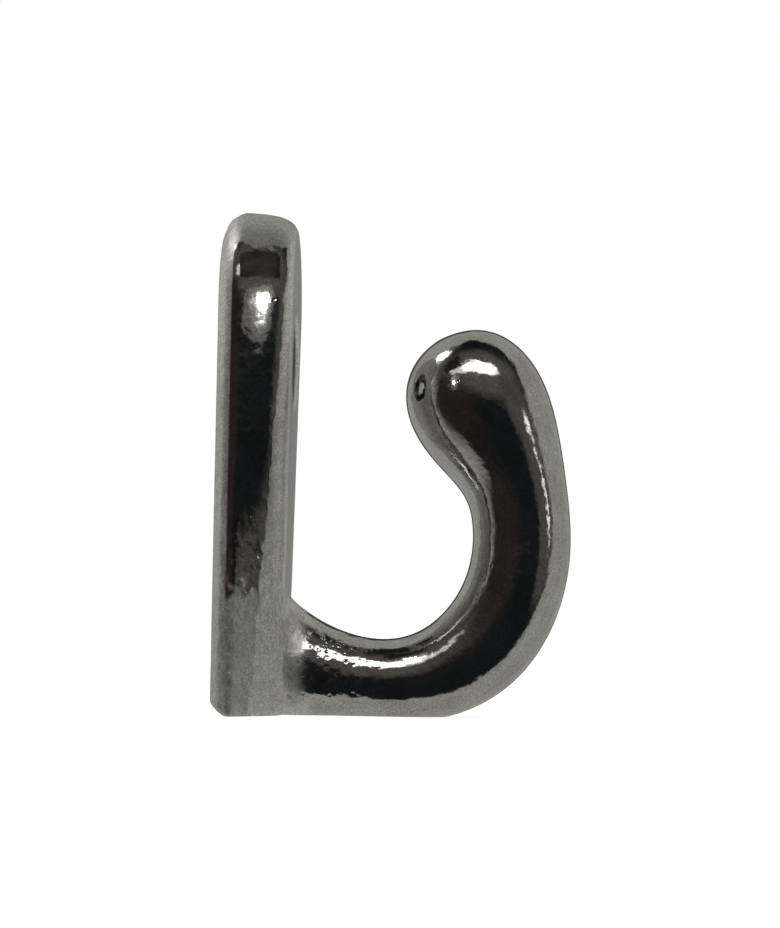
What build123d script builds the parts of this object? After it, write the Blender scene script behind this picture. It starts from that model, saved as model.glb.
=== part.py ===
from build123d import *
import math
import os

# Awning hook: a thick wall plate, a J arm that leaves its foot and a ball on the arm's end,
# cast as one piece.  Millimetres.  +X points away from the wall, +Z up, and the part is
# symmetric about Y = 0.  It is drawn from its foot up, and the origin is then moved to where
# the screw's axis meets the wall face.

# ---- plate: its horizontal profile changes from the foot up to the round top ----
plate_height = 44.6
plate_half_width = 8.7       # of the round top, which makes it the radius of that top too
top_thickness = 6.55
foot_thickness = 6.1
foot_narrowing = 0.4         # the foot is this much less wide than the top, on each side
ridge_reach = 1.8            # wall face to the side's ridge, where the plate is widest
back_edge = ((0.0, 2.0), (0.6, 0.65))  # worn back edge: reach from the wall, inset from the side
heel_reach = 1.3             # bevel where the wall face meets the ground foot: out from the wall
heel_rise = 1.0              # and up from the foot
front_half_width = 6.7       # flat of the front face at the round top
front_foot_half_width = 3.9  # and at the foot
# Profiles: height as a share of the height of the round top's centre, the slope at which the
# side leaves its ridge, and how far back the front edge's rounding starts.
profiles = ((0.0, 41, 0.5), (0.2, 38, 0.8), (0.65, 8, 2.2), (1.0, 3, 1.8))
side_lead = 0.5              # length of the side's straight lead, as a share of its reach

# ---- screw hole ----
screw_height = 31.2          # screw axis above the foot
screw_hole_diameter = 4.6
countersink_diameter = 9.0
countersink_angle = 90.0

# ---- arm: centre line in the XZ plane ----
arm_height = 3.16            # straight part of the centre line above the foot
arm_foot_reach = 15.6        # wall to the end of that straight part
low_bend_radius = 10.9
low_bend_turn = 72.3
high_bend_radius = 17.5
high_bend_turn = 48.0
neck_length = 3.98           # straight end of the centre line, up to the ball's centre

# ---- arm: cross-sections ----
foot_half_thickness = 3.69   # half of the arm's depth in the plane of the J
foot_half_width = 4.0        # half of the arm's width across the J
throat_radius = 11.5         # the arm's upper side sweeps up into the plate on this arc
throat_reach = 14.8          # wall to where that arc starts
root_spread = 0.5            # how much wider the arm gets, on each side, at the plate
root_reaches = (5.6, 8.6)    # wall to each cross-section along that arc
low_bend_sizes = ((0.44, 4.21), (1.0, 4.4))    # share of the bend, and half thickness there
high_bend_sizes = ((0.5, 4.36), (0.96, 5.56))
ball_radius = 6.07
ball_latitudes = (4, 32, 60)  # cross-sections that round off the ball


def half_profile(share, slope, rounding):
    """Edges of half of a horizontal profile of the plate, from behind the wall face round."""
    side = plate_half_width - foot_narrowing * (1 - share)
    thickness = foot_thickness + (top_thickness - foot_thickness) * share
    front = front_foot_half_width + (front_half_width - front_foot_half_width) * share
    worn = [(reach, side - inset) for reach, inset in back_edge]
    ridge = (ridge_reach, side)
    lead = (thickness - ridge_reach) * side_lead
    slant = (ridge_reach + lead, side - lead * math.tan(math.radians(slope)))
    return [
        Line((-plate_half_width, 0), (-plate_half_width, worn[0][1])),
        Line((-plate_half_width, worn[0][1]), worn[0]),
        Line(worn[0], worn[1]),
        Line(worn[1], ridge),
        Bezier(ridge, slant, (thickness, front + rounding), (thickness, front)),
        Line((thickness, front), (thickness, 0)),
    ]


def make_plate():
    """Lofted shank, and a round top that is its last profile turned about its own middle."""
    crown_height = plate_height - plate_half_width
    outlines = []
    for row in profiles:
        half = half_profile(*row)
        other = Wire(half).mirror(Plane.XZ).edges()
        outlines.append((Pos(0, 0, row[0] * crown_height) * make_face([*half, *other])).face())
    half = half_profile(*profiles[-1])
    middle = Line((top_thickness, 0), (-plate_half_width, 0))
    crown = revolve(make_face([*half, middle]), Axis.X, 180)
    return loft(outlines, ruled=True) + Pos(0, 0, crown_height) * crown


def along(x, z, heading, radius, turn):
    """Point and heading after an arc of that radius turns left by that angle."""
    start, end = math.radians(heading), math.radians(heading + turn)
    x += radius * (math.sin(end) - math.sin(start))
    z += radius * (math.cos(start) - math.cos(end))
    return x, z, heading + turn


def ahead(x, z, heading, distance):
    """Point and heading straight on by that distance."""
    angle = math.radians(heading)
    return x + distance * math.cos(angle), z + distance * math.sin(angle), heading


def section(place, half_thickness, half_width):
    """Oval cross-section of the arm, square to its centre line."""
    x, z, heading = place
    angle = math.radians(heading)
    plane = Plane(origin=(x, 0, z), x_dir=(0, 1, 0), z_dir=(math.cos(angle), 0, math.sin(angle)))
    return (plane * Ellipse(half_width, half_thickness)).face()


def root_section(reach):
    """Upright cross-section where the arm's upper side sweeps up into the plate."""
    run = throat_reach - reach
    rise = (throat_radius - math.sqrt(throat_radius ** 2 - run ** 2)) / 2
    half_width = foot_half_width + root_spread * (run / (throat_reach - top_thickness)) ** 2
    return section((reach, arm_height + rise, 0), foot_half_thickness + rise, half_width)


def make_arm():
    """Arm and ball in one loft, from inside the plate to the ball's pole."""
    low = (arm_foot_reach, arm_height, 0)
    low_end = along(*low, low_bend_radius, low_bend_turn)
    high_end = along(*low_end, high_bend_radius, high_bend_turn)
    sections = [root_section(reach) for reach in root_reaches]
    sections.append(section(low, foot_half_thickness, foot_half_width))
    for share, size in low_bend_sizes:
        sections.append(section(along(*low, low_bend_radius, share * low_bend_turn), size, size))
    for share, size in high_bend_sizes:
        sections.append(section(along(*low_end, high_bend_radius, share * high_bend_turn), size, size))
    for latitude in ball_latitudes:
        lift = neck_length + ball_radius * math.sin(math.radians(latitude))
        ring = ball_radius * math.cos(math.radians(latitude))
        sections.append(section(ahead(*high_end, lift), ring, ring))
    pole_x, pole_z, _ = ahead(*high_end, neck_length + ball_radius)
    return loft([*sections, Vertex(pole_x, 0, pole_z)])


def make_screw_hole():
    """Screw hole along X with a countersink at the plate's front face."""
    depth = countersink_diameter / 2 / math.tan(math.radians(countersink_angle / 2))
    hole = Cylinder(screw_hole_diameter / 2, 3 * top_thickness)
    sink = Pos(0, 0, top_thickness - depth / 2) * Cone(0, countersink_diameter / 2, depth)
    return Pos(0, 0, screw_height) * Rot(0, 90, 0) * (hole + sink)


extent = 2 * plate_height
wall = Pos(-extent / 2, 0, 0) * Box(extent, extent, 3 * extent)
ground = Pos(0, 0, -extent / 2) * Box(3 * extent, extent, extent)
heel_corner = Plane.XZ * make_face(Polyline((0, 0), (heel_reach, 0), (0, heel_rise), (0, 0)))
heel = extrude(heel_corner, extent, both=True)
hook = make_plate() + make_arm() - make_screw_hole() - wall - ground - heel
hook = Pos(0, 0, -screw_height) * hook

os.makedirs("parts", exist_ok=True)
export_step(hook, "parts/hook.step")
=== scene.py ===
import math

import bmesh
import bpy
from mathutils import Matrix, Vector


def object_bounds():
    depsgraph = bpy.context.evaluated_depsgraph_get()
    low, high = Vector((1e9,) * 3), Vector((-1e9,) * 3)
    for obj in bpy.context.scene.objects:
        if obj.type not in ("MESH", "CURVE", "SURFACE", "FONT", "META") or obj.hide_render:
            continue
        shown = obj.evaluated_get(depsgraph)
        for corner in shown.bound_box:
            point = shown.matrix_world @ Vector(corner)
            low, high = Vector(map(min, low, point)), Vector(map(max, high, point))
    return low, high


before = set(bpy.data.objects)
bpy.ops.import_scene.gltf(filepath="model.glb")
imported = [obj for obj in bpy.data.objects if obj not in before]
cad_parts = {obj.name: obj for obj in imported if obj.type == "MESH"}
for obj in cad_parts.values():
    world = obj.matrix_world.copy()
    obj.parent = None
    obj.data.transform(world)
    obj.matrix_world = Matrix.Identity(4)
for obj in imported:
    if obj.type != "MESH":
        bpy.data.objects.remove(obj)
cadLow, cadHigh = [list(corner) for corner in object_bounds()]
scene = bpy.context.scene
footHeight = cadLow[2]


def level(height):
    # a height above the foot, in the hook's own frame
    return footHeight + height


def raised(point):
    # a point given above the foot, in the hook's own frame
    return (point[0], point[1], level(point[2]))


def addNode(tree, kind, place, **settings):
    node = tree.nodes.new(kind)
    node.location = place
    for name, value in settings.items():
        setattr(node, name, value)
    return node


def feed(tree, node, socket, source):
    # a source is either another node's output or a plain value
    if isinstance(source, bpy.types.NodeSocket):
        tree.links.new(source, node.inputs[socket])
    else:
        node.inputs[socket].default_value = source


def maths(tree, operation, place, *sources, clamp=False):
    node = addNode(tree, "ShaderNodeMath", place, operation=operation, use_clamp=clamp)
    for index, source in enumerate(sources):
        feed(tree, node, index, source)
    return node.outputs[0]


def vectors(tree, operation, place, *sources):
    node = addNode(tree, "ShaderNodeVectorMath", place, operation=operation)
    for index, source in enumerate(sources):
        feed(tree, node, index, source)
    return node.outputs["Value" if operation in ("DOT_PRODUCT", "LENGTH") else "Vector"]


def splitPlace(tree, place, vector):
    node = addNode(tree, "ShaderNodeSeparateXYZ", place)
    tree.links.new(vector, node.inputs["Vector"])
    return node.outputs


def ramp(tree, place, value, start, end, low=0.0, high=1.0):
    # smooth step of a value between two limits
    node = addNode(tree, "ShaderNodeMapRange", place, interpolation_type="SMOOTHSTEP")
    for socket, source in (("Value", value), ("From Min", start), ("From Max", end),
                           ("To Min", low), ("To Max", high)):
        feed(tree, node, socket, source)
    return node.outputs["Result"]


def rootOfSquares(tree, place, first, second):
    # distance from two sides that stand square to each other
    column, row = place
    total = maths(tree, "ADD", (column - 150, row),
                  maths(tree, "MULTIPLY", (column - 300, row), first, first),
                  maths(tree, "MULTIPLY", (column - 300, row - 150), second, second))
    return maths(tree, "SQRT", place, total)


def within(tree, place, distance, softness):
    # 1 where a distance is under one and 0 beyond it, with a soft edge
    column, row = place
    outer = maths(tree, "ADD", (column - 200, row - 150), 1.0, softness)
    inner = maths(tree, "SUBTRACT", (column - 200, row - 300), 1.0, softness)
    return ramp(tree, place, distance, outer, inner)


def centred(tree, place, noise):
    # noise runs from 0 to 1, and this moves its middle to 0
    return maths(tree, "SUBTRACT", place, noise, 0.5)


def blendColour(tree, place, share, first, second, mode="MIX"):
    node = addNode(tree, "ShaderNodeMix", place, data_type="RGBA", blend_type=mode)
    for socket, source in ((0, share), (6, first), (7, second)):
        if isinstance(source, tuple) and len(source) == 3:
            source = (*source, 1)
        feed(tree, node, socket, source)
    return node.outputs[2]


def newGroup(name, inputs, outputs):
    group = bpy.data.node_groups.new(name, "ShaderNodeTree")
    for socketName, kind, value in inputs:
        socket = group.interface.new_socket(socketName, in_out="INPUT", socket_type=kind)
        if value is not None:
            socket.default_value = value
    for socketName, kind in outputs:
        group.interface.new_socket(socketName, in_out="OUTPUT", socket_type=kind)
    start = addNode(group, "NodeGroupInput", (-1000, 0))
    end = addNode(group, "NodeGroupOutput", (800, 0))
    return group, start.outputs, end


def placeGroup(tree, group, place, **sources):
    node = addNode(tree, "ShaderNodeGroup", place, node_tree=group)
    for name, source in sources.items():
        feed(tree, node, name, source)
    return node.outputs


def makeSkinGroup():
    # soft waviness that polishing leaves on a casting
    group, given, end = newGroup("castSkin", [
        ("Place", "NodeSocketVector", None), ("Size", "NodeSocketFloat", 0.001),
        ("Detail", "NodeSocketFloat", 1.0),
    ], [("Height", "NodeSocketFloat")])
    noise = addNode(group, "ShaderNodeTexNoise", (-500, 0), noise_dimensions="3D")
    feed(group, noise, "Vector", given["Place"])
    feed(group, noise, "Scale", maths(group, "DIVIDE", (-800, -100), 1.0, given["Size"]))
    feed(group, noise, "Detail", given["Detail"])
    feed(group, noise, "Roughness", 0.45)
    feed(group, end, "Height", noise.outputs["Fac"])
    return group


def makePitGroup():
    # small round pits, scattered, each a little different in size
    group, given, end = newGroup("castPits", [
        ("Place", "NodeSocketVector", None), ("Spacing", "NodeSocketFloat", 0.0015),
        ("Width", "NodeSocketFloat", 0.15), ("Share", "NodeSocketFloat", 0.3),
    ], [("Mask", "NodeSocketFloat")])
    smallest = 0.4    # the smallest pit, as a share of the given width
    cells = addNode(group, "ShaderNodeTexVoronoi", (-500, 0), feature="F1")
    feed(group, cells, "Vector", given["Place"])
    feed(group, cells, "Scale", maths(group, "DIVIDE", (-800, -100), 1.0, given["Spacing"]))
    tone = addNode(group, "ShaderNodeSeparateColor", (-250, -150))
    feed(group, tone, "Color", cells.outputs["Color"])
    chosen = maths(group, "LESS_THAN", (0, -150), tone.outputs["Red"], given["Share"])
    growth = maths(group, "ADD", (-100, -350), tone.outputs["Green"], smallest)
    width = maths(group, "MULTIPLY", (50, -350), given["Width"], growth)
    hole = ramp(group, (200, 50), cells.outputs["Distance"], width, 0.0)
    feed(group, end, "Mask", maths(group, "MULTIPLY", (400, 0), hole, chosen))
    return group


def makeZoneGroup():
    # 1 inside a soft-edged ball about a point, 0 outside
    group, given, end = newGroup("zone", [
        ("Place", "NodeSocketVector", None), ("Middle", "NodeSocketVector", (0, 0, 0)),
        ("Reach", "NodeSocketVector", (0.001, 0.001, 0.001)), ("Softness", "NodeSocketFloat", 0.3),
    ], [("Mask", "NodeSocketFloat")])
    offset = vectors(group, "SUBTRACT", (-750, 0), given["Place"], given["Middle"])
    shares = vectors(group, "DIVIDE", (-550, 0), offset, given["Reach"])
    distance = vectors(group, "LENGTH", (-350, 0), shares)
    feed(group, end, "Mask", within(group, (0, 0), distance, given["Softness"]))
    return group


def makeLineGroup():
    # fine lines that run round a middle, as a buffing wheel leaves them along a bend
    group, given, end = newGroup("buffLines", [
        ("Place", "NodeSocketVector", None), ("Middle", "NodeSocketVector", (0, 0, 0)),
        ("Size", "NodeSocketFloat", 0.0005),
    ], [("Height", "NodeSocketFloat")])
    turnLength = 0.0020    # a radian of turn counts as this short a way, which draws the lines out
    offset = vectors(group, "SUBTRACT", (-800, 0), given["Place"], given["Middle"])
    x, y, z = splitPlace(group, (-600, 0), offset)
    radius = rootOfSquares(group, (-100, 200), x, z)
    turn = maths(group, "ARCTAN2", (-400, -150), z, x)
    turn = maths(group, "MULTIPLY", (-250, -150), turn, turnLength)
    rolled = addNode(group, "ShaderNodeCombineXYZ", (100, 0))
    for index, source in enumerate((radius, turn, y)):
        feed(group, rolled, index, source)
    noise = addNode(group, "ShaderNodeTexNoise", (300, 0), noise_dimensions="3D")
    feed(group, noise, "Vector", rolled.outputs[0])
    feed(group, noise, "Scale", maths(group, "DIVIDE", (100, -200), 1.0, given["Size"]))
    feed(group, noise, "Detail", 2.0)
    feed(group, end, "Height", noise.outputs["Fac"])
    return group


castSkin = makeSkinGroup()
castPits = makePitGroup()
zone = makeZoneGroup()
buffLines = makeLineGroup()
print("shared effects ready")

# The casting is resampled to an even mesh, so that its facets melt into one smooth skin.
hookBody = {
    "weldGap": 0.00001,
    "gridSize": 0.00024,
    "smoothStrength": 0.5,
    "smoothRounds": 12,
}
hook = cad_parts["hook"]
weld = hook.modifiers.new("weld", "WELD")
weld.merge_threshold = hookBody["weldGap"]
remesh = hook.modifiers.new("evenMesh", "REMESH")
remesh.mode = "VOXEL"
remesh.voxel_size = hookBody["gridSize"]
remesh.use_smooth_shade = True
soften = hook.modifiers.new("soften", "SMOOTH")
soften.factor = hookBody["smoothStrength"]
soften.iterations = hookBody["smoothRounds"]

# Heights are above the foot, and reaches are out from the wall.
platedMetal = {
    "colour": (0.52, 0.52, 0.495),
    "warmColour": (0.47, 0.455, 0.425),
    "cloudSize": 0.0032, "cloudLow": 0.42, "cloudHigh": 0.62,    # noise where it turns warm
    "groundColour": (0.67, 0.67, 0.635), "groundTint": 0.85,
    # the front edge and the upper back edge are painted paler: a painted reflection
    "wornColour": (0.88, 0.88, 0.84), "wornTint": 0.75,
    "wornLow": 0.0260, "wornHigh": 0.0350,        # heights over which the back edge gets its painted reflection
    "pitColour": (0.16, 0.15, 0.14), "pitTint": 0.8,
    # the screw hole's countersink is painted darker: painted shade in the recess
    "boreShadeColour": (0.20, 0.19, 0.18),
    "boreReach": (0.02, 0.00435, 0.00435), "boreSoftness": 0.03,
    "boreStart": 0.0002, "boreFull": 0.0004,      # reaches, so that the wall face gets none of the painted shade
    "mottle": (0.30, 0.70, 0.80, 1.14),           # noise from and to, then brightness from and to
    "lineTint": (0.30, 0.70, 0.90, 1.06),
    "polished": 0.09, "satin": 0.45, "footSatin": 0.55, "hazeGloss": 0.13,
    "speckle": 0.12,                              # how much the fine marks change the gloss
    "waveSize": 0.0030, "waveDepth": 0.000030,
    "peelSize": 0.0011, "peelDepth": 0.000150, "peelPolished": 0.22,    # share left by polishing
    "chatterSize": 0.00040, "chatterDepth": 0.000026, "chatterPolished": 0.30,
    "grainSize": 0.00015, "grainDepth": 0.0000040, "grainPolished": 0.20,
    "lineSize": 0.00045, "lineDepth": 0.0000050,
    "jMiddle": (0.0150, 0.0, 0.0150),             # the buffing lines run round this
    "pitDepth": 0.000040,
    "pits": (0.0016, 0.12, 0.10),                 # spacing, width, and how many places have one
    "rootPits": (0.0006, 0.34, 0.45),
    "plateReach": 0.0068, "armReach": 0.0090,     # between these the plate's finish gives way
    "footLow": 0.0078, "footHigh": 0.0135,        # heights where the ground foot fades out
    "wrinkleLow": 0.0120, "wrinkleHigh": 0.0180,  # and where its wrinkled border does
    "headLow": 0.0402, "headHigh": 0.0407,        # heights where the ground top begins
    "backReach": 0.00135, "backSoftness": 0.00012,    # how far the ground back edge comes forward
    "frontLow": 0.0043, "frontHigh": 0.00455,     # reaches where the ground front edge begins
    "frontLean": 0.070, "leanHeight": 0.0150,     # at this height, and further out above it
    "footRagged": 0.012, "headRagged": 0.0024, "frontRagged": 0.00072,
    "root": ((0.0103, 0.0, 0.0042), (0.0036, 0.02, 0.0036), 0.35),      # middle, reach, softness
    "haze": ((0.0042, -0.0085, 0.0349), (0.0020, 0.004, 0.0030), 0.25),
}


def metalLayers(tree, place, values):
    # uneven skin at five sizes, and the buffing lines round the J
    def skin(row, size, detail=1.0):
        node = placeGroup(tree, castSkin, (-1400, row), Place=place, Size=size, Detail=detail)
        return node["Height"]

    lines = placeGroup(tree, buffLines, (-1400, -1300), Place=place, Size=values["lineSize"],
                       Middle=raised(values["jMiddle"]))
    return {
        "wave": skin(-300, values["waveSize"], detail=0.0),
        "peel": skin(-500, values["peelSize"]),
        "chatter": skin(-700, values["chatterSize"]),
        "grain": skin(-900, values["grainSize"]),
        "cloud": skin(-1100, values["cloudSize"], detail=3.0),
        "lines": lines["Height"],
    }


def metalMasks(tree, place, peel, values):
    # where the casting is ground, uneven or pitted, where a paler reflection is painted on its
    # edges, and where shade is painted into its screw hole
    parts = splitPlace(tree, (-1800, -300), place)
    x, z = parts["X"], parts["Z"]
    wander = centred(tree, (-1600, 700), peel)

    def ragged(row, line, depth):
        shift = maths(tree, "MULTIPLY", (-1350, row), wander, depth)
        return maths(tree, "ADD", (-1200, row), line, shift)

    def fade(row, line, start, end):
        return ramp(tree, (-1000, row), line, start, end)

    def both(row, first, second):
        return maths(tree, "MULTIPLY", (-800, row), first, second)

    def softZone(row, middle, reach, softness):
        return placeGroup(tree, zone, (-1000, row), Place=place, Middle=middle, Reach=reach,
                          Softness=softness)["Mask"]

    def pitted(row, spacing, width, share):
        return placeGroup(tree, castPits, (-1000, row), Place=place, Spacing=spacing,
                          Width=width, Share=share)["Mask"]

    plateSide = fade(100, x, values["armReach"], values["plateReach"])
    foot = fade(500, ragged(500, z, values["footRagged"]),
                level(values["footHigh"]), level(values["footLow"]))
    foot = both(500, foot, plateSide)
    wrinkled = fade(300, z, level(values["wrinkleHigh"]), level(values["wrinkleLow"]))
    wrinkled = both(300, wrinkled, plateSide)
    head = fade(700, ragged(700, z, values["headRagged"]),
                level(values["headLow"]), level(values["headHigh"]))
    back = fade(900, x, values["backReach"] + values["backSoftness"],
                values["backReach"] - values["backSoftness"])
    rise = maths(tree, "SUBTRACT", (-1650, 1100), z, level(values["leanHeight"]))
    lean = maths(tree, "MULTIPLY", (-1500, 1100), values["frontLean"], rise)
    upright = maths(tree, "SUBTRACT", (-1350, 950), x, lean)
    front = fade(1100, ragged(1100, upright, values["frontRagged"]),
                 values["frontLow"], values["frontHigh"])
    front = both(1100, front, plateSide)

    # painted reflection on the front edge, and on the back edge above a height
    upper = fade(1300, z, level(values["wornLow"]), level(values["wornHigh"]))
    worn = maths(tree, "MAXIMUM", (-600, 1200), front, both(1300, back, upper))
    edges = maths(tree, "MAXIMUM", (-600, 900), back, front)
    ends = maths(tree, "MAXIMUM", (-600, 600), foot, head)
    ground = maths(tree, "MAXIMUM", (-450, 700), ends, edges)

    screwAxis = (0.0, 0.0, 0.0)
    # painted shade in the screw hole's countersink
    boreShade = softZone(1500, screwAxis, values["boreReach"], values["boreSoftness"])
    boreShade = both(1500, boreShade, fade(1700, x, values["boreStart"], values["boreFull"]))
    rootMiddle, rootReach, rootSoftness = values["root"]
    root = softZone(-100, raised(rootMiddle), rootReach, rootSoftness)
    hazeMiddle, hazeReach, hazeSoftness = values["haze"]
    haze = softZone(-250, raised(hazeMiddle), hazeReach, hazeSoftness)
    uneven = maths(tree, "MAXIMUM", (-600, 200), wrinkled, root)
    rootPits = both(-1700, pitted(-1700, *values["rootPits"]), root)
    return {
        "plateSide": plateSide, "foot": foot, "ground": ground, "worn": worn,
        "haze": haze, "boreShade": boreShade, "uneven": uneven,
        "coarse": maths(tree, "MAXIMUM", (-450, 0), uneven, ground),
        "pits": maths(tree, "MAXIMUM", (-600, -1600), pitted(-1500, *values["pits"]), rootPits),
    }


def metalNormal(tree, layers, masks, values):
    # one bump per effect, each with its own depth in metres
    def strength(row, mask, polished):
        part = maths(tree, "MULTIPLY", (-300, row), mask, 1.0 - polished)
        return maths(tree, "ADD", (-150, row), part, polished)

    peelShare = strength(-300, masks["uneven"], values["peelPolished"])
    chatterShare = strength(-500, masks["coarse"], values["chatterPolished"])
    grainShare = strength(-700, masks["coarse"], values["grainPolished"])
    lineShare = maths(tree, "SUBTRACT", (-300, -900), 1.0, masks["plateSide"])
    unpitted = maths(tree, "SUBTRACT", (-300, -1600), 1.0, masks["pits"])
    heights = (
        (layers["wave"], values["waveDepth"], 1.0),
        (layers["peel"], values["peelDepth"], peelShare),
        (layers["chatter"], values["chatterDepth"], chatterShare),
        (layers["grain"], values["grainDepth"], grainShare),
        (layers["lines"], values["lineDepth"], lineShare),
        (unpitted, values["pitDepth"], 1.0),
    )
    normal = None
    for index, (height, depth, share) in enumerate(heights):
        bump = addNode(tree, "ShaderNodeBump", (200 + 180 * index, -600))
        bump.inputs["Strength"].default_value = 1.0
        bump.inputs["Distance"].default_value = depth
        feed(tree, bump, "Height", maths(tree, "MULTIPLY", (50, -800 - 150 * index), height, share))
        if normal is not None:
            tree.links.new(normal, bump.inputs["Normal"])
        normal = bump.outputs["Normal"]
    return normal


def metalColour(tree, layers, masks, values):
    # warm clouds, pale ground areas, a painted reflection on the edges, fine mottling, dark pits
    # and a painted shade in the screw hole
    cloud = ramp(tree, (0, 700), layers["cloud"], values["cloudLow"], values["cloudHigh"])
    colour = blendColour(tree, (200, 700), cloud, values["colour"], values["warmColour"])
    tint = maths(tree, "MULTIPLY", (200, 850), masks["ground"], values["groundTint"])
    colour = blendColour(tree, (400, 700), tint, colour, values["groundColour"])
    # the painted reflection makes the front edge and the upper back edge paler
    tint = maths(tree, "MULTIPLY", (400, 850), masks["worn"], values["wornTint"])
    colour = blendColour(tree, (600, 700), tint, colour, values["wornColour"])
    mottle = ramp(tree, (200, 1050), layers["grain"], *values["mottle"])
    lineTint = ramp(tree, (200, 1300), layers["lines"], *values["lineTint"])
    brightness = maths(tree, "MULTIPLY", (600, 1050), mottle, lineTint)
    colour = blendColour(tree, (800, 700), 1.0, colour, brightness, "MULTIPLY")
    tint = maths(tree, "MULTIPLY", (800, 850), masks["pits"], values["pitTint"])
    colour = blendColour(tree, (1000, 700), tint, colour, values["pitColour"])
    # painted shade darkens the screw hole
    return blendColour(tree, (1200, 700), masks["boreShade"], colour, values["boreShadeColour"])


def metalGloss(tree, chatter, masks, values):
    # the dullest finish wins where areas meet
    gloss = values["polished"]
    areas = (("ground", "satin"), ("foot", "footSatin"), ("haze", "hazeGloss"))
    for index, (area, finish) in enumerate(areas):
        dull = ramp(tree, (200 * index, 300), masks[area], 0.0, 1.0,
                    low=values["polished"], high=values[finish])
        gloss = maths(tree, "MAXIMUM", (200 + 200 * index, 100), gloss, dull)
    speckle = centred(tree, (450, -100), chatter)
    speckle = maths(tree, "MULTIPLY", (600, -100), speckle, values["speckle"])
    return maths(tree, "ADD", (800, 100), gloss, speckle, clamp=True)


def makePlatedMetal(values):
    material = bpy.data.materials.new("platedMetal")
    material.use_nodes = True
    tree = material.node_tree
    shader = tree.nodes["Principled BSDF"]
    shader.location = (1500, 0)
    tree.nodes["Material Output"].location = (1800, 0)
    place = addNode(tree, "ShaderNodeTexCoord", (-2000, 0)).outputs["Object"]
    layers = metalLayers(tree, place, values)
    masks = metalMasks(tree, place, layers["peel"], values)
    tree.links.new(metalNormal(tree, layers, masks, values), shader.inputs["Normal"])
    tree.links.new(metalColour(tree, layers, masks, values), shader.inputs["Base Color"])
    tree.links.new(metalGloss(tree, layers["chatter"], masks, values), shader.inputs["Roughness"])
    shader.inputs["Metallic"].default_value = 1.0
    return material


hook.data.materials.clear()
hook.data.materials.append(makePlatedMetal(platedMetal))
print("hook ready")


def makeSheet(name, width, depth, matrix):
    # a flat sheet, made about the origin and then put in its place
    mesh = bpy.data.meshes.new(name)
    shape = bmesh.new()
    bmesh.ops.create_grid(shape, x_segments=1, y_segments=1, size=0.5)
    bmesh.ops.scale(shape, vec=(width, depth, 1), verts=shape.verts)
    bmesh.ops.transform(shape, matrix=matrix, verts=shape.verts)
    shape.to_mesh(mesh)
    shape.free()
    sheet = bpy.data.objects.new(name, mesh)
    scene.collection.objects.link(sheet)
    return sheet


def makeDullPaint(name, colour):
    paint = bpy.data.materials.new(name)
    paint.use_nodes = True
    shader = paint.node_tree.nodes["Principled BSDF"]
    shader.inputs["Base Color"].default_value = (*colour, 1)
    shader.inputs["Roughness"].default_value = 0.9
    return paint


floor = {"size": 3.0, "colour": (0.86, 0.86, 0.85), "glow": 0.80}
ground = makeSheet("floor", floor["size"], floor["size"], Matrix.Translation((0, 0, footHeight)))
ground.visible_glossy = False
floorPaint = makeDullPaint("paleFloor", floor["colour"])
floorShader = floorPaint.node_tree.nodes["Principled BSDF"]
floorShader.inputs["Specular IOR Level"].default_value = 0.0
floorShader.inputs["Emission Color"].default_value = (1, 1, 1, 1)
floorShader.inputs["Emission Strength"].default_value = floor["glow"]
ground.data.materials.append(floorPaint)
print("floor ready")

# Every patch is a soft oval seen from the hook: how high and how far round it stands, its
# half width and half height in degrees, how soft its edge is, and its brightness. Each one
# covers those before it, and the first is the dark room itself.
studio = {
    "surround": (0.43, 0.43, 0.405),
    "patches": {
        "darkRoom": (24, 3, 70, 82, 0.04, (0.012, 0.0145, 0.016)),
        "ceiling": (46, 5, 58, 34, 0.28, (0.125, 0.115, 0.105)),
        "rightWall": (12, 57, 18, 26, 0.30, (0.105, 0.10, 0.095)),
        "leftWall": (-6, -44, 34, 36, 0.45, (0.036, 0.024, 0.024)),
        "leftBright": (0, -114, 40, 60, 0.30, (0.46, 0.46, 0.437)),
        "keyTail": (37, -31, 14, 4.0, 0.40, (1.0, 1.0, 0.96)),
        "keyLamp": (49, 7, 25, 9.0, 0.25, (3.6, 3.6, 3.5)),
        "fillLamp": (53, -97, 7, 9, 0.30, (4.0, 4.0, 3.9)),
        "sideStrip": (6.5, 64, 2.6, 4.0, 0.45, (1.7, 1.7, 1.63)),
        "lowGlint": (-41, -88, 6, 6, 0.40, (0.95, 0.95, 0.88)),
        "backShade": (8, 180, 24, 24, 0.30, (0.05, 0.05, 0.05)),
    },
}


def lookFrom(height, bearing):
    # the way to a patch, and what is across and up for it
    height, bearing = math.radians(height), math.radians(bearing)
    flat, rise = math.cos(height), math.sin(height)
    middle = (flat * math.sin(bearing), -flat * math.cos(bearing), rise)
    across = (math.cos(bearing), math.sin(bearing), 0)
    up = (-rise * math.sin(bearing), rise * math.cos(bearing), flat)
    return middle, across, up


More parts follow.
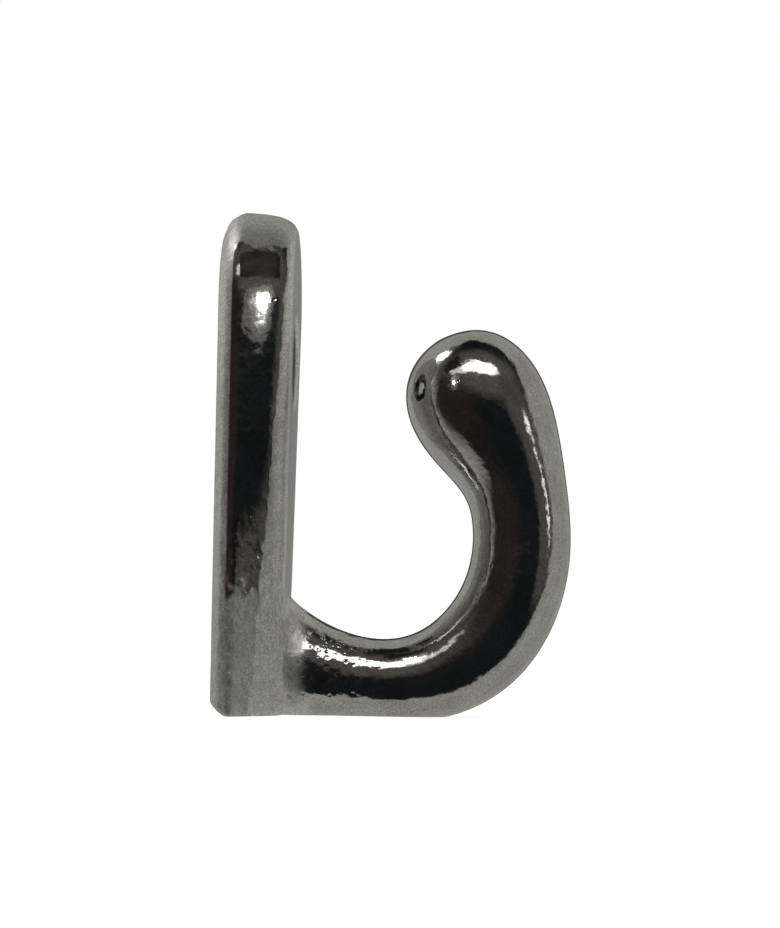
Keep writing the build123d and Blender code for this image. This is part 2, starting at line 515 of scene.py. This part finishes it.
def makePatchGroup():
    # the mask of one patch, from the way that light comes in
    group, given, end = newGroup("softPatch", [
        ("Heading", "NodeSocketVector", None), ("Middle", "NodeSocketVector", (0, 0, 1)),
        ("Across", "NodeSocketVector", (1, 0, 0)), ("Up", "NodeSocketVector", (0, 1, 0)),
        ("HalfWidth", "NodeSocketFloat", 0.5), ("HalfHeight", "NodeSocketFloat", 0.5),
        ("Softness", "NodeSocketFloat", 0.2),
    ], [("Mask", "NodeSocketFloat")])
    smallest = 0.001    # keeps the very middle of a patch from dividing by nothing
    ahead = vectors(group, "DOT_PRODUCT", (-800, 200), given["Heading"], given["Middle"])
    across = vectors(group, "DOT_PRODUCT", (-800, 0), given["Heading"], given["Across"])
    up = vectors(group, "DOT_PRODUCT", (-800, -200), given["Heading"], given["Up"])
    angle = maths(group, "ARCCOSINE", (-600, 200), ahead)
    spread = rootOfSquares(group, (-400, 0), across, up)
    spread = maths(group, "MAXIMUM", (-300, 0), spread, smallest)
    # angles across and up, on a map where distance from the middle is a true angle
    stretch = maths(group, "DIVIDE", (-200, 100), angle, spread)
    acrossAngle = maths(group, "MULTIPLY", (-100, 0), across, stretch)
    upAngle = maths(group, "MULTIPLY", (-100, -200), up, stretch)
    width = maths(group, "DIVIDE", (0, 0), acrossAngle, given["HalfWidth"])
    height = maths(group, "DIVIDE", (0, -200), upAngle, given["HalfHeight"])
    distance = rootOfSquares(group, (400, 0), width, height)
    feed(group, end, "Mask", within(group, (600, 0), distance, given["Softness"]))
    return group


def makeStudio(values):
    world = bpy.data.worlds.new("studio")
    world.use_nodes = True
    scene.world = world
    tree = world.node_tree
    tree.nodes.clear()
    group = makePatchGroup()
    heading = addNode(tree, "ShaderNodeTexCoord", (-1400, 0)).outputs["Generated"]
    colour = values["surround"]
    for index, row in enumerate(values["patches"].values()):
        high, bearing, halfWidth, halfHeight, softness, brightness = row
        middle, across, up = lookFrom(high, bearing)
        patch = placeGroup(tree, group, (-1000, -300 * index), Heading=heading, Middle=middle,
                           Across=across, Up=up, HalfWidth=math.radians(halfWidth),
                           HalfHeight=math.radians(halfHeight), Softness=softness)
        colour = blendColour(tree, (-600, -300 * index), patch["Mask"], colour, brightness)

    # behind the hook, the camera sees plain white
    light = addNode(tree, "ShaderNodeBackground", (-150, 0))
    tree.links.new(colour, light.inputs["Color"])
    pale = addNode(tree, "ShaderNodeBackground", (-150, -200))
    pale.inputs["Color"].default_value = (1, 1, 1, 1)
    ray = addNode(tree, "ShaderNodeLightPath", (-150, 300))
    mix = addNode(tree, "ShaderNodeMixShader", (50, 0))
    tree.links.new(ray.outputs["Is Camera Ray"], mix.inputs[0])
    tree.links.new(light.outputs[0], mix.inputs[1])
    tree.links.new(pale.outputs[0], mix.inputs[2])
    out = addNode(tree, "ShaderNodeOutputWorld", (250, 0))
    tree.links.new(mix.outputs[0], out.inputs["Surface"])


makeStudio(studio)

# A small lamp and a wide one, both close to the plate, make one bright spot with a glow round
# it on the plate's side. A dark card above them keeps the key lamp's reflection off the crown.
plateLights = {
    "lampPlace": (0.0074, -0.0232, 0.0377), "lampTarget": (0.0042, -0.0086, 0.0364),
    "lamps": {"sparkLamp": (0.0028, 0.00060), "glowLamp": (0.0100, 0.00004)},    # width, power
    "cardPlace": (0.0057, -0.0163, 0.0487), "cardTarget": (0.0039, -0.0083, 0.0399),
    "cardWidth": 0.017, "cardHeight": 0.0105, "cardColour": (0.012, 0.010, 0.010),
}


def facing(place, target):
    # turns -Z towards the target, at that place
    heading = Vector(target) - Vector(place)
    turn = heading.to_track_quat("-Z", "Y").to_matrix().to_4x4()
    return Matrix.Translation(raised(place)) @ turn


for name, (width, power) in plateLights["lamps"].items():
    lampData = bpy.data.lights.new(name, "AREA")
    lampData.shape = "DISK"
    lampData.size = width
    lampData.energy = power
    lamp = bpy.data.objects.new(name, lampData)
    scene.collection.objects.link(lamp)
    lamp.matrix_world = facing(plateLights["lampPlace"], plateLights["lampTarget"])
    lamp.visible_camera = False

card = makeSheet("shadeCard", plateLights["cardWidth"], plateLights["cardHeight"],
                 facing(plateLights["cardPlace"], plateLights["cardTarget"]))
card.data.materials.append(makeDullPaint("cardPaint", plateLights["cardColour"]))
card.visible_camera = False
card.visible_shadow = False
card.visible_diffuse = False
scene.view_settings.view_transform = "Standard"
print("light ready")

# Lengths in metres, angles in degrees, and the lens in millimetres.
view = {
    "x": 0.018,
    "height": 0.00811,
    "distance": 0.200,
    "yaw": 0.849,
    "pitch": -4.062,
    "roll": 0.974,
    "lens": 87.37,
}
cameraData = bpy.data.cameras.new("camera")
camera = bpy.data.objects.new("camera", cameraData)
scene.collection.objects.link(camera)
cameraData.sensor_fit = "VERTICAL"
cameraData.sensor_height = 36.0
cameraData.lens = view["lens"]
cameraData.clip_start = 0.001
camera.location = (view["x"], -view["distance"], level(view["height"]))
aim = Matrix.Identity(3)
for axis, degrees in (("Z", view["yaw"]), ("X", 90 - view["pitch"]), ("Z", view["roll"])):
    aim = aim @ Matrix.Rotation(math.radians(degrees), 3, axis)
camera.rotation_euler = aim.to_euler()
scene.camera = camera
print("camera ready")
